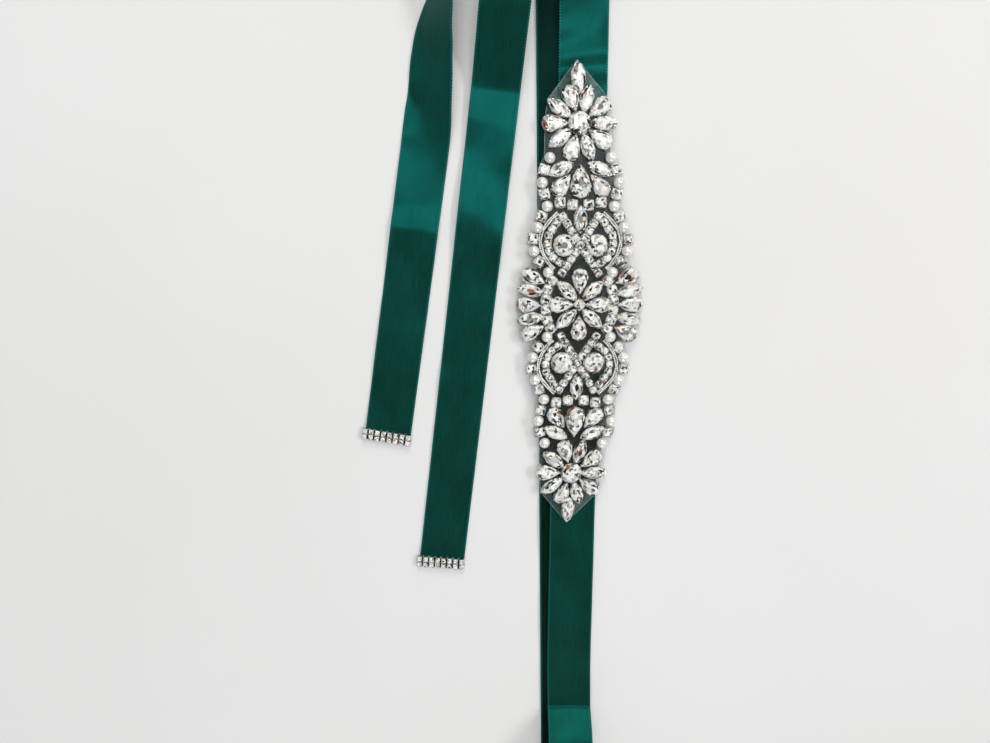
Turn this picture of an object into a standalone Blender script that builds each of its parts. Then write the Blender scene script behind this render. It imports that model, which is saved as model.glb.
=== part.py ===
# Sash belt: one length of satin ribbon with a crystal and pearl applique on its middle,
# laid down on a table. +X is to the right of the layout, +Y is its top end and +Z is up.
# The origin is on the table, beneath the middle of the applique.

import bpy
import bmesh
import math
from mathutils import Vector

MM = 0.001

# Ribbon, in millimetres
RIBBON_WIDTH = 25.0
RIBBON_WALL = 1.0
GAP = 0.3
LAYER_PITCH = RIBBON_WALL + GAP
ON_TABLE = RIBBON_WALL / 2
ON_BACK_RIBBON = ON_TABLE + LAYER_PITCH
COLUMNS_ACROSS = 2
COLUMNS_IN_A_TWIST = 4
LOOP_STEPS = 14
SMALL_LOOP_STEPS = 6
SKEW_REACH = 20.0
SLOPE_PROBE = 0.01
RIBBON_SHARP_ANGLE = math.radians(40)

# Headings in the layout, as degrees clockwise from +Y
BACK_HEADING = -0.95
LONG_TAIL_HEADING = 6.85
FRONT_BOTTOM_HEADING = 4.6
SHORT_TAIL_TOP_HEADING = 24.0

# Back ribbon, flat on the table, and the two loops that join it to its neighbours
BACK_MIDDLE_X = -9.2
BACK_TOP_Y = 336.7
BACK_BOTTOM_Y = -272.0
TOP_LOOP_RADIUS = 10.0
BOTTOM_LOOP_RADIUS = 13.0

# Folded spare length, stacked on the front ribbon
STACK_X = -0.4
STACK_TOP_Y = 331.0
STACK_BOTTOM_Y = 171.0
STACK_LOOP_RADIUS = 2.0

# Long tail: height of the ribbon's middle surface along the layout
LONG_TAIL_TIP_Y = -146.1
LONG_TAIL_HEIGHTS = [
    # y, z
    (160.0, 20.5),
    (146.4, 18.5),
    (129.0, 11.0),
    (111.0, 3.1),
    (92.0, 2.6),
    (71.0, 1.4),
    (40.0, ON_TABLE),
    (LONG_TAIL_TIP_Y, ON_TABLE),
]

# Front ribbon under the applique, from the stack down to the crease before the bottom loop
CREASE_Y = -234.0
CREASE_LAND = 1.2
FRONT_ROWS = [
    # y, x, z, roll, skew
    (STACK_TOP_Y, STACK_X, ON_BACK_RIBBON, 0, 0),
    (152.2, -0.3, ON_BACK_RIBBON, 0, 0),
    (114.0, -0.1, ON_BACK_RIBBON, 0, 0),
    (-121.3, -1.5, ON_BACK_RIBBON, 0, 0),
    (-206.8, -1.9, ON_BACK_RIBBON, 0, 0),
    (CREASE_Y, -1.4, ON_BACK_RIBBON, 0, 0),
]

# The front ribbon's rise from the crease to the crest of the bottom loop
RISE_ROWS = [
    # y, x, z, roll, skew
    (CREASE_Y, -1.4, ON_BACK_RIBBON, 0, 0),
    (CREASE_Y - CREASE_LAND, -1.4, ON_BACK_RIBBON, 0, 0),
    (-238.4, -1.4, 4.6, 0, 0),
    (-243.0, -1.4, 9.9, 0, 0),
    (-248.0, -1.5, 15.2, 0, 0),
    (-254.0, -1.7, 20.3, 0, 0),
    (-261.0, -2.1, 24.4, 0, 0),
]

# Short tail, from the stack to its tip: it lies face down on the stack, stands on its
# edge beside it, and comes to rest face up on the table
SHORT_TAIL_TIP_Y = -73.0
SHORT_TAIL_ROWS = [
    # y, x, z, roll, skew
    (290.0, -19.5, 16.4, 180, 0),
    (250.0, -37.0, 16.4, 180, 0),
    (225.0, -47.3, 15.5, 158, 0),
    (200.0, -56.5, 14.0, 130, 0),
    (172.0, -65.5, 13.0, 90, 0),
    (148.9, -71.5, 10.6, 54, 0),
    (140.1, -73.6, 9.4, 45, 0),
    (131.2, -75.1, 7.7, 35, 0),
    (122.2, -76.2, 6.5, 28.5, 0),
    (112.8, -76.9, 5.5, 23, 0),
    (103.6, -77.9, 3.7, 15, 0),
    (94.4, -79.0, 1.6, 5, 0),
    (84.6, -80.3, ON_TABLE, 0, 0),
    (54.4, -84.7, ON_TABLE, 0, 0),
    (2.2, -92.5, ON_TABLE, 0, 0),
    (SHORT_TAIL_TIP_Y, -103.8, ON_TABLE, 0, -1.0),
]

# Applique: a clear film that carries the stones, bowed a little along its length
FILM_UNDERSIDE = ON_BACK_RIBBON + RIBBON_WALL / 2 + GAP
FILM_THICKNESS = 1.0
APPLIQUE_HALF_LENGTH = 123.6
BOW_DEPTH = -4.1
BOW_LEAN = 0.8
STONE_ROOT = 0.4
STONE_SHARP_ANGLE = math.radians(30)
PEAR_WIDEST = 0.77

# A quarter of the film's outline, from the tip to the widest point
FILM_OUTLINE = [
    # x, y
    (0.0, APPLIQUE_HALF_LENGTH),
    (16.6, 104.0),
    (21.2, 94.0),
    (20.6, 83.0),
    (19.0, 76.5),
    (23.0, 70.0),
    (23.6, 60.0),
    (22.6, 52.0),
    (26.5, 43.0),
    (28.8, 33.0),
    (27.6, 25.0),
    (26.0, 21.0),
    (31.5, 20.0),
    (34.2, 12.0),
    (35.2, 0.0),
]

# Stones by kind: width, length, height above the film
STONES = {
    "navette": (6.7, 13.6, 3.8),
    "pear": (7.9, 12.9, 3.8),
    "large_pear": (10.2, 16.4, 4.4),
    "tip_navette": (7.0, 15.6, 3.8),
    "round": (10.4, 10.4, 4.6),
    "square": (5.2, 5.2, 3.0),
    "pearl": (5.8, 5.8, 4.8),
    "chain": (3.6, 3.6, 2.6),
}

# A quarter of the pattern, mirrored to the other three.
# turn is the way that a stone's outer end points, in degrees from +X.
QUARTER_PATTERN = [
    # kind, x, y, turn
    ("navette", 6.8, 7.4, 43),
    ("pear", 24.6, 14.4, 27),
    ("navette", 26.2, 7.5, 12),
    ("round", 8.6, 31.0, 90),
    ("square", 4.2, 51.6, 0),
    ("square", 10.6, 52.8, 0),
    ("pear", 9.6, 61.6, -50),
    ("navette", 10.0, 69.6, -24),
    ("pearl", 16.8, 17.0, 0),
    ("square", 21.4, 22.5, 40),
    ("pearl", 24.3, 28.0, 0),
    ("square", 24.8, 34.3, 5),
    ("pearl", 22.4, 40.2, 0),
    ("square", 20.2, 45.7, 22),
    ("pearl", 17.3, 50.9, 0),
    ("square", 18.6, 57.1, -10),
    ("pearl", 19.7, 62.8, 0),
    ("square", 18.6, 69.3, 15),
    ("pearl", 15.6, 75.2, 0),
]

# Small cup stones in a quarter: three by themselves in the ring round the middle flower,
# and runs of evenly spaced ones, each given by the points that it passes through
RING_STONES = [
    # x, y, turn
    (17.6, 2.8, 9),
    (16.9, 7.7, 24),
    (14.9, 12.5, 42),
]
CHAIN_PITCH = 4.2
CHAIN_RUNS = [
    [(2.3, 34.8), (9.2, 45.8)],
    [(2.4, 27.4), (9.4, 16.8)],
    [(12.3, 42.8), (16.6, 36.2), (17.2, 30.2), (14.9, 25.2), (10.9, 22.2)],
]

# Stones on the long centre line, mirrored to the other end
CENTRE_LINE_PATTERN = [
    # kind, y, turn
    ("pear", 12.4, 90),
    ("chain", 31.0, 57),
    ("navette", 44.2, 90),
    ("large_pear", 63.4, -90),
    ("round", 92.2, 90),
    ("tip_navette", 114.4, 90),
]

# Stones on the short centre line, mirrored to the other side
CROSS_LINE_PATTERN = [
    # kind, x
    ("pear", 9.6),
    ("pear", 26.8),
]

# Flower at each end of the applique
FLOWER_Y = 92.2
PETAL_COUNT = 10
PETAL_DISTANCE = 12.6
FIRST_PETAL_TURN = 108.0

# Tips: a bar of two rows of small stones over each cut end of the ribbon
TIP_WIDTH = 27.0
TIP_OVERHANG_LEFT = 1.6
LONG_TIP_HEADING = 4.8
SHORT_TIP_HEADING = 9.6
TIP_BAR_TOP = 2.3
TIP_INNER_REACH = 3.0
TIP_OUTER_REACH = 3.2
TIP_STONES_IN_A_ROW = 8
TIP_STONE_PITCH = 3.4
TIP_STONE_WIDTH = 2.9
TIP_STONE_HEIGHT = 1.7
TIP_ROW_OFFSET = 1.5


# Scene and materials

for old in list(bpy.data.objects):
    bpy.data.objects.remove(old, do_unlink=True)

parts = bpy.data.collections.new("sash_belt")
cutters = bpy.data.collections.new("cutters")
bpy.context.scene.collection.children.link(parts)
bpy.context.scene.collection.children.link(cutters)


def principled(name, colour, roughness, metallic):
    material = bpy.data.materials.new(name)
    material.use_nodes = True
    shader = material.node_tree.nodes["Principled BSDF"]
    shader.inputs["Base Color"].default_value = (*colour, 1.0)
    shader.inputs["Roughness"].default_value = roughness
    shader.inputs["Metallic"].default_value = metallic
    return material


def add_object(name, bm, collection, material=None):
    mesh = bpy.data.meshes.new(name)
    bmesh.ops.scale(bm, vec=(MM, MM, MM), verts=bm.verts)
    bm.to_mesh(mesh)
    bm.free()
    if material:
        mesh.materials.append(material)
    obj = bpy.data.objects.new(name, mesh)
    collection.objects.link(obj)
    return obj


# Ribbon: a stretch is a list of sections, each its middle point and the way across

def heading_vector(degrees):
    angle = math.radians(degrees)
    return Vector((math.sin(angle), math.cos(angle), 0.0))


def across_heading(heading):
    return Vector((heading.y, -heading.x, 0.0))


def monotone_curve(knots, values):
    """A smooth curve through the values that never overshoots between two of them."""
    spans = [b - a for a, b in zip(knots, knots[1:])]
    rates = [(b - a) / span for a, b, span in zip(values, values[1:], spans)]
    slopes = [rates[0]]
    for before, after in zip(rates, rates[1:]):
        level = before * after <= 0.0
        slopes.append(0.0 if level else 2.0 * before * after / (before + after))
    slopes.append(rates[-1])

    def value(knot):
        last = len(spans) - 1
        i = next((k for k in range(last) if (knot - knots[k + 1]) * spans[k] < 0), last)
        t = (knot - knots[i]) / spans[i]
        start = (1 + 2 * t) * (1 - t) ** 2 * values[i] + t * (1 - t) ** 2 * spans[i] * slopes[i]
        end = t * t * (3 - 2 * t) * values[i + 1] - t * t * (1 - t) * spans[i] * slopes[i + 1]
        return start + end

    return value


def run_sections(rows, steps):
    """Sections along a stretch whose rows give y, x, z, roll and skew."""
    knots = [row[0] for row in rows]
    x, z, roll, skew = (monotone_curve(knots, [row[c] for row in rows]) for c in (1, 2, 3, 4))
    sections = []
    for i in range((len(rows) - 1) * steps + 1):
        k = min(i // steps, len(rows) - 2)
        y = knots[k] + (knots[k + 1] - knots[k]) * (i - k * steps) / steps
        below = y - SLOPE_PROBE
        above = y + SLOPE_PROBE
        low = Vector((x(below), below, z(below)))
        high = Vector((x(above), above, z(above)))
        along = (high - low).normalized()
        level = across_heading(along).normalized()
        lift = level.cross(along)
        angle = math.radians(roll(y))
        across = level * math.cos(angle) + lift * math.sin(angle)
        across += along * math.tan(math.radians(skew(y)))
        sections.append((Vector((x(y), y, z(y))), across))
    return sections


def loop_sections(start, heading_in, heading_back, radius, steps):
    """A half turn upwards. heading_back is the way back along the stretch that leaves it."""
    middle = (heading_in + heading_back) / 2
    forward = heading_vector(middle)
    across = across_heading(forward)
    lean = math.tan(math.radians(heading_in - middle))
    stretch = math.sqrt(1 + lean * lean)
    side = 1.0 if across.x > 0 else -1.0
    sections = []
    for i in range(steps + 1):
        turn = math.pi * i / steps
        point = start + forward * (radius * math.sin(turn))
        point += across * (radius * turn * lean)
        point += Vector((0, 0, radius * (1 - math.cos(turn))))
        sections.append((point, across * (side * stretch)))
    return sections


def trimmed(sections):
    """Draw each end back by half the gap, so that two stretches don't touch at a seam."""
    first, second = sections[0], sections[1]
    last, before = sections[-1], sections[-2]
    inward = (second[0] - first[0]).normalized() * (GAP / 2)
    outward = (before[0] - last[0]).normalized() * (GAP / 2)
    sections[0] = (first[0] + inward, first[1])
    sections[-1] = (last[0] + outward, last[1])
    return sections


def joined(*stretches):
    """One list from several, where each starts on the last section of the one before."""
    sections = list(stretches[0])
    for stretch in stretches[1:]:
        sections += stretch[1:]
    return sections


def ribbon(name, sections, columns=COLUMNS_ACROSS):
    bm = bmesh.new()
    rows = []
    for point, across in trimmed(sections):
        shares = [(c / columns - 0.5) * RIBBON_WIDTH for c in range(columns + 1)]
        rows.append([bm.verts.new(point + across * share) for share in shares])
    for lower, upper in zip(rows, rows[1:]):
        for c in range(columns):
            bm.faces.new((lower[c], lower[c + 1], upper[c + 1], upper[c]))
    obj = add_object(name, bm, parts, satin)
    wall = obj.modifiers.new("wall", "SOLIDIFY")
    wall.thickness = RIBBON_WALL * MM
    wall.offset = 0.0
    obj.data.shade_smooth()
    obj.data.set_sharp_from_angle(angle=RIBBON_SHARP_ANGLE)
    return obj


satin = principled("teal_satin", (0.010, 0.085, 0.075), 0.35, 0.0)


# Back ribbon and its loops

def back_x(y):
    return BACK_MIDDLE_X + y * math.tan(math.radians(BACK_HEADING))


top_skew = (BACK_HEADING - LONG_TAIL_HEADING) / 2
bottom_skew = (BACK_HEADING - FRONT_BOTTOM_HEADING) / 2
back_top = Vector((back_x(BACK_TOP_Y), BACK_TOP_Y, ON_TABLE))
back_bottom = Vector((back_x(BACK_BOTTOM_Y), BACK_BOTTOM_Y, ON_TABLE))

back_rows = [
    # y, x, z, roll, skew
    (back_top.y, back_top.x, ON_TABLE, 0, top_skew),
    (BACK_TOP_Y - SKEW_REACH, back_x(BACK_TOP_Y - SKEW_REACH), ON_TABLE, 0, 0),
    (0.0, BACK_MIDDLE_X, ON_TABLE, 0, 0),
    (BACK_BOTTOM_Y + SKEW_REACH, back_x(BACK_BOTTOM_Y + SKEW_REACH), ON_TABLE, 0, 0),
    (back_bottom.y, back_bottom.x, ON_TABLE, 0, bottom_skew),
]
ribbon("ribbon_back", run_sections(back_rows, 1))

top_loop = loop_sections(back_top, BACK_HEADING, LONG_TAIL_HEADING,
                         TOP_LOOP_RADIUS, LOOP_STEPS)
tail_start = top_loop[-1][0].copy()
ribbon("ribbon_top_loop", top_loop)

turned = 180.0
bottom_loop = loop_sections(back_bottom, BACK_HEADING + turned, FRONT_BOTTOM_HEADING + turned,
                            BOTTOM_LOOP_RADIUS, LOOP_STEPS)
crest = bottom_loop[-1][0]
rise_rows = RISE_ROWS + [(crest.y, crest.x, crest.z, 0, -bottom_skew)]
rise = run_sections(rise_rows, 2)
ribbon("ribbon_bottom_loop", joined(rise, bottom_loop[::-1]))


# Long tail

def long_tail_x(y):
    return tail_start.x + (y - tail_start.y) * math.tan(math.radians(LONG_TAIL_HEADING))


tail_rows = [(tail_start.y, tail_start.x, tail_start.z, 0, -top_skew),
             (BACK_TOP_Y - SKEW_REACH, long_tail_x(BACK_TOP_Y - SKEW_REACH), tail_start.z, 0, 0)]
tail_rows += [(y, long_tail_x(y), z, 0, 0) for y, z in LONG_TAIL_HEIGHTS]
tail_rows[-1] = tail_rows[-1][:4] + (LONG_TAIL_HEADING - LONG_TIP_HEADING,)
ribbon("ribbon_tail_long", run_sections(tail_rows, 2))


# Front ribbon and the folded spare length on it

ribbon("ribbon_front", run_sections(FRONT_ROWS, 1))


def stack_point(y, z):
    return Vector((STACK_X, y, z))


def stack_run(y_from, z_from, y_to, z_to):
    rows = [(y_from, STACK_X, z_from, 0, 0), (y_to, STACK_X, z_to, 0, 0)]
    return run_sections(rows, 1)


loop_rise = 2 * STACK_LOOP_RADIUS
height = ON_BACK_RIBBON
stretches = []
for fold in range(2):
    top_loop_end = height + loop_rise
    stretches.append(loop_sections(stack_point(STACK_TOP_Y, height), 0, 0,
                                   STACK_LOOP_RADIUS, SMALL_LOOP_STEPS))
    bottom_start = height + LAYER_PITCH
    stretches.append(stack_run(STACK_TOP_Y, top_loop_end, STACK_BOTTOM_Y, bottom_start))
    stretches.append(loop_sections(stack_point(STACK_BOTTOM_Y, bottom_start), turned, turned,
                                   STACK_LOOP_RADIUS, SMALL_LOOP_STEPS))
    height = bottom_start + loop_rise
    stretches.append(stack_run(STACK_BOTTOM_Y, height, STACK_TOP_Y, height))
last_loop = loop_sections(stack_point(STACK_TOP_Y, height), 0, SHORT_TAIL_TOP_HEADING,
                          STACK_LOOP_RADIUS, SMALL_LOOP_STEPS)
stretches.append(last_loop)
ribbon("ribbon_folds", joined(*stretches))


# Short tail

start = last_loop[-1][0]
first_row = (start.y, start.x, start.z, 180, -SHORT_TAIL_TOP_HEADING / 2)
ribbon("ribbon_tail_short", run_sections([first_row] + SHORT_TAIL_ROWS, 3), COLUMNS_IN_A_TWIST)


# Applique

def bowed(x, y):
    share = y / APPLIQUE_HALF_LENGTH
    return x + BOW_DEPTH * share * share + BOW_LEAN * share


def outline_point(kind, angle, width, length):
    """A point of a stone's outline, whose outer end is at +Y. angle runs from its inner end."""
    if kind == "square":
        return (width / 2 * math.copysign(1, math.sin(angle)),
                -length / 2 * math.copysign(1, math.cos(angle)))
    y = -length / 2 * math.cos(angle)
    if kind in ("pear", "large_pear"):
        return (width / 2 * math.sin(angle) * abs(math.sin(angle / 2)) / PEAR_WIDEST, y)
    if kind in ("navette", "tip_navette"):
        return (width / 2 * math.sin(angle) * abs(math.sin(angle)), y)
    return (width / 2 * math.sin(angle), y)


# The outline's steps and the sections above the film, as shares of its size and height
STONE_STEPS = {"square": 4, "chain": 6, "pearl": 8, "round": 12}
PETAL_STEPS = 10
CUT_STONE_SECTIONS = [(1.0, 0.45), (0.52, 1.0)]
PEARL_SECTIONS = [(1.0, 0.45), (0.78, 0.8), (0.3, 1.0)]


def add_stone(bm, kind, x, y, turn, base, sizes=None):
    width, length, rise_above = sizes or STONES[kind]
    steps = STONE_STEPS.get(kind, PETAL_STEPS)
    ring = bmesh.ops.create_circle(bm, cap_ends=True, segments=steps, radius=1.0)["verts"]
    spin = math.radians(turn - 90)
    half_step = math.pi / steps if kind == "square" else 0.0
    for vert in ring:
        angle = math.atan2(vert.co.x, -vert.co.y) + half_step
        px, py = outline_point(kind, angle, width, length)
        vert.co = Vector((x + px * math.cos(spin) - py * math.sin(spin),
                          y + px * math.sin(spin) + py * math.cos(spin), base))
    faces = [ring[0].link_faces[0]]
    middle = Vector((x, y, 0))
    reach = 1.0
    for share, height_share in PEARL_SECTIONS if kind == "pearl" else CUT_STONE_SECTIONS:
        on_foot = faces[0].verts[0] in ring
        grown = bmesh.ops.extrude_face_region(bm, geom=faces, use_keep_orig=on_foot)
        if not on_foot:
            bmesh.ops.delete(bm, geom=[f for f in faces if f.is_valid], context="FACES_ONLY")
        verts = [item for item in grown["geom"] if isinstance(item, bmesh.types.BMVert)]
        faces = [item for item in grown["geom"] if isinstance(item, bmesh.types.BMFace)]
        level = Vector((0, 0, base + STONE_ROOT + rise_above * height_share))
        for vert in verts:
            offset = Vector((vert.co.x, vert.co.y, 0)) - middle
            vert.co = middle + offset * (share / reach) + level
        reach = share


def even_points(run):
    """Evenly spaced points on a line through the run's own, with the line's direction."""
    legs = [(Vector(a), Vector(b) - Vector(a)) for a, b in zip(run, run[1:])]
    total = sum(leg.length for start, leg in legs)
    count = round(total / CHAIN_PITCH)
    spots = []
    for i in range(count + 1):
        left = total * i / count
        for start, leg in legs:
            if left <= leg.length + 0.001:
                break
            left -= leg.length
        spot = start + leg.normalized() * left
        spots.append((spot.x, spot.y, math.degrees(math.atan2(leg.y, leg.x))))
    return spots


def bend_along_bow(bm):
    for vert in bm.verts:
        vert.co.x = bowed(vert.co.x, vert.co.y)
    bmesh.ops.recalc_face_normals(bm, faces=bm.faces)


def union_with(obj, other):
    other.hide_render = True
    other.display_type = "WIRE"
    union = obj.modifiers.new("stones", "BOOLEAN")
    union.operation = "UNION"
    union.solver = "EXACT"
    union.object = other
    obj.data.set_sharp_from_angle(angle=STONE_SHARP_ANGLE)


def prism(bm, points, direction):
    """A closed prism from a flat outline and the way that it is drawn out."""
    face = bm.faces.new([bm.verts.new(point) for point in points])
    grown = bmesh.ops.extrude_face_region(bm, geom=[face], use_keep_orig=True)
    verts = [item for item in grown["geom"] if isinstance(item, bmesh.types.BMVert)]
    bmesh.ops.translate(bm, verts=verts, vec=direction)
    bmesh.ops.recalc_face_normals(bm, faces=bm.faces)


film_clear = principled("clear_film_and_stones", (0.62, 0.66, 0.68), 0.12, 0.6)

bm = bmesh.new()
right_side = FILM_OUTLINE + [(x, -y) for x, y in FILM_OUTLINE[-2::-1]]
left_side = [(-x, y) for x, y in right_side[-2:0:-1]]
outline = [Vector((x, y, FILM_UNDERSIDE)) for x, y in right_side + left_side]
prism(bm, outline, Vector((0, 0, FILM_THICKNESS)))
bend_along_bow(bm)
applique = add_object("applique", bm, parts, film_clear)

bm = bmesh.new()
stone_base = FILM_UNDERSIDE + FILM_THICKNESS - STONE_ROOT
quarter = QUARTER_PATTERN + [("chain", x, y, turn) for x, y, turn in RING_STONES]
for run in CHAIN_RUNS:
    quarter += [("chain", x, y, turn) for x, y, turn in even_points(run)]
for kind, x, y, turn in quarter:
    for side_x in (1, -1):
        for side_y in (1, -1):
            outer = math.degrees(math.atan2(side_y * math.sin(math.radians(turn)),
                                            side_x * math.cos(math.radians(turn))))
            add_stone(bm, kind, side_x * x, side_y * y, outer, stone_base)
for kind, y, turn in CENTRE_LINE_PATTERN:
    for side in (1, -1):
        add_stone(bm, kind, 0, side * y, side * turn, stone_base)
for kind, x in CROSS_LINE_PATTERN:
    add_stone(bm, kind, x, 0, 0, stone_base)
    add_stone(bm, kind, -x, 0, 180, stone_base)
for flower_y in (FLOWER_Y, -FLOWER_Y):
    for petal in range(PETAL_COUNT):
        turn = FIRST_PETAL_TURN - petal * 360.0 / PETAL_COUNT
        kind = "navette" if petal % 2 else "pear"
        petal_x = PETAL_DISTANCE * math.cos(math.radians(turn))
        petal_y = flower_y + PETAL_DISTANCE * math.sin(math.radians(turn))
        add_stone(bm, kind, petal_x, petal_y, turn, stone_base)
bend_along_bow(bm)
stones = add_object("applique_stones", bm, cutters)
union_with(applique, stones)


# Tips

tip_finish = principled("stones_in_silver_cups", (0.75, 0.76, 0.78), 0.18, 0.9)


def tip(name, cut_x, cut_y, heading):
    """A bar over the ribbon's cut end, stepped down to the table beyond the end."""
    outward = -heading_vector(heading)
    across = across_heading(heading_vector(heading))
    up = Vector((0, 0, 1))
    end = Vector((cut_x, cut_y, 0))
    left = end - across * (RIBBON_WIDTH / 2 + TIP_OVERHANG_LEFT)
    seat = RIBBON_WALL + GAP
    profile = [(-TIP_INNER_REACH, seat), (GAP, seat), (GAP, 0.0), (TIP_OUTER_REACH, 0.0),
               (TIP_OUTER_REACH, TIP_BAR_TOP), (-TIP_INNER_REACH, TIP_BAR_TOP)]
    bm = bmesh.new()
    prism(bm, [left + outward * u + up * z for u, z in profile], across * TIP_WIDTH)
    bar = add_object(name, bm, parts, tip_finish)
    bm = bmesh.new()
    middle = left + across * (TIP_WIDTH / 2)
    sizes = (TIP_STONE_WIDTH, TIP_STONE_WIDTH, TIP_STONE_HEIGHT)
    for place in range(TIP_STONES_IN_A_ROW):
        shift = (place - (TIP_STONES_IN_A_ROW - 1) / 2) * TIP_STONE_PITCH
        for row in (-TIP_ROW_OFFSET, TIP_ROW_OFFSET):
            spot = middle + across * shift + outward * row
            add_stone(bm, "pearl", spot.x, spot.y, 0, TIP_BAR_TOP - STONE_ROOT, sizes)
    bmesh.ops.recalc_face_normals(bm, faces=bm.faces)
    union_with(bar, add_object(name + "_stones", bm, cutters))


tip("tip_long", long_tail_x(LONG_TAIL_TIP_Y), LONG_TAIL_TIP_Y, LONG_TIP_HEADING)
tip("tip_short", SHORT_TAIL_ROWS[-1][1], SHORT_TAIL_TIP_Y, SHORT_TIP_HEADING)
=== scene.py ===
import bpy
import bmesh
import math
import random
from mathutils import Matrix, Vector, noise


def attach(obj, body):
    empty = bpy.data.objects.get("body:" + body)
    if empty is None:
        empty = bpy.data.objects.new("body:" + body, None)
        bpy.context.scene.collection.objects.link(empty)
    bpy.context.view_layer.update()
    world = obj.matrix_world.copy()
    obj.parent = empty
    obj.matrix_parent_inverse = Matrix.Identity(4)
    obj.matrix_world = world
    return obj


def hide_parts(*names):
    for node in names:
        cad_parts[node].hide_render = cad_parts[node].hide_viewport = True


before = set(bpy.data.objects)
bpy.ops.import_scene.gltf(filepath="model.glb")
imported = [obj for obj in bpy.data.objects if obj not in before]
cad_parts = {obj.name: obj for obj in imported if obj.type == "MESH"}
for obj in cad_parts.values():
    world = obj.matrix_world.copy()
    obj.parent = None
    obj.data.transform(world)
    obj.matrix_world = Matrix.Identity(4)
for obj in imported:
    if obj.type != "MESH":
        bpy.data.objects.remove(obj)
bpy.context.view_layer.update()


# Camera: held about 40 cm above the table and leant a little towards the lower end
# of the layout, with the focal length given as a share of the picture's width.

FOCAL_SHARE = 740 / 990

camera_lens = bpy.data.cameras.new("camera")
camera_lens.sensor_width = 36.0
camera_lens.lens = 36.0 * FOCAL_SHARE
camera_lens.clip_start = 0.01
camera = bpy.data.objects.new("camera", camera_lens)
camera.location = (-0.0447, 0.0309, 0.3965)
camera.rotation_euler = (math.radians(-9.659), 0.0, 0.0)
bpy.context.scene.collection.objects.link(camera)
bpy.context.scene.camera = camera
bpy.context.scene.view_settings.view_transform = "Standard"


# Table and light: a matt white board under a soft window on the right and a weak lamp overhead.
# A wide low window stands beyond the far edge, a low fill on the near side, and the rest is an
# even light all round.

def new_finish(name):
    material = bpy.data.materials.new(name)
    material.use_nodes = True
    tree = material.node_tree
    return material, tree.nodes["Principled BSDF"], tree.nodes, tree.links


def noise_of(nodes, links, vector, scale, detail=2.0, stretch=(1.0, 1.0, 1.0)):
    """A noise that reads vector, stretched along its axes."""
    mapping = nodes.new("ShaderNodeMapping")
    mapping.inputs["Scale"].default_value = stretch
    links.new(vector, mapping.inputs["Vector"])
    texture = nodes.new("ShaderNodeTexNoise")
    texture.inputs["Scale"].default_value = scale
    texture.inputs["Detail"].default_value = detail
    links.new(mapping.outputs["Vector"], texture.inputs["Vector"])
    return texture.outputs["Fac"]


def ramp_of(nodes, links, factor, stops):
    """A colour ramp over factor, from stops of (place, colour)."""
    ramp = nodes.new("ShaderNodeValToRGB")
    for element, (place, colour) in zip(ramp.color_ramp.elements, (stops[0], stops[-1])):
        element.position = place
        element.color = (*colour, 1.0)
    for place, colour in stops[1:-1]:
        ramp.color_ramp.elements.new(place).color = (*colour, 1.0)
    links.new(factor, ramp.inputs["Fac"])
    return ramp.outputs["Color"]


def bump_of(nodes, links, height, distance, strength=1.0):
    bump = nodes.new("ShaderNodeBump")
    bump.inputs["Distance"].default_value = distance
    bump.inputs["Strength"].default_value = strength
    links.new(height, bump.inputs["Height"])
    return bump.outputs["Normal"]


def range_of(nodes, links, value, reads, gives=(0.0, 1.0)):
    """A value taken from one range to another, and held at the ends."""
    scale = nodes.new("ShaderNodeMapRange")
    for socket, number in zip(("From Min", "From Max", "To Min", "To Max"), reads + gives):
        scale.inputs[socket].default_value = number
    links.new(value, scale.inputs["Value"])
    return scale.outputs["Result"]


def mottled_finish(name, scale, detail, stops, roughness=0.5):
    """A finish whose colour drifts over the piece, from stops of (place, colour)."""
    material, shader, nodes, links = new_finish(name)
    place = nodes.new("ShaderNodeTexCoord").outputs["Object"]
    drift = noise_of(nodes, links, place, scale, detail)
    links.new(ramp_of(nodes, links, drift, stops), shader.inputs["Base Color"])
    shader.inputs["Roughness"].default_value = roughness
    return material, shader, nodes, links, drift


board, shader, nodes, links, _ = mottled_finish(
    "white_board", 3.0, 3.0, [(0.3, (0.80, 0.79, 0.80)), (0.7, (0.84, 0.83, 0.85))], 0.55)
place = nodes.new("ShaderNodeTexCoord").outputs["Object"]
grain = noise_of(nodes, links, place, 900.0, 2.0)
links.new(bump_of(nodes, links, grain, 0.0001, 0.15), shader.inputs["Normal"])

bpy.ops.mesh.primitive_plane_add(size=6.0)
table_top = bpy.context.object
table_top.name = "table_top"
table_top.data.materials.append(board)


def add_lamp(name, place, aim, across, along, watts, colour):
    lamp = bpy.data.lights.new(name, "AREA")
    lamp.shape = "RECTANGLE"
    lamp.size = across
    lamp.size_y = along
    lamp.energy = watts
    lamp.color = colour
    holder = bpy.data.objects.new(name, lamp)
    holder.location = place
    holder.rotation_euler = (Vector(aim) - Vector(place)).to_track_quat("-Z", "Y").to_euler()
    bpy.context.scene.collection.objects.link(holder)


add_lamp("window", (2.6, 0.55, 2.5), (0.0, 0.02, 0.0), 1.8, 0.6, 40.0, (1.0, 0.98, 0.95))
add_lamp("overhead", (-0.05, 0.448, 2.2), (-0.05, 0.448, 0.0), 1.8, 0.32, 11.5, (0.94, 0.99, 1.0))
add_lamp("far window", (0.0, 2.6, 1.7), (0.0, -0.2, 0.0), 1.2, 1.1, 31.0, (0.97, 1.0, 0.86))
add_lamp("near fill", (0.0, -2.6, 1.4), (0.0, 0.0, 0.0), 1.2, 0.8, 16.0, (1.0, 0.99, 0.97))

world = bpy.data.worlds.new("studio")
bpy.context.scene.world = world
world.use_nodes = True
even_light = world.node_tree.nodes["Background"]
even_light.inputs["Color"].default_value = (1.0, 0.985, 0.995, 1.0)
even_light.inputs["Strength"].default_value = 0.37


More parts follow.
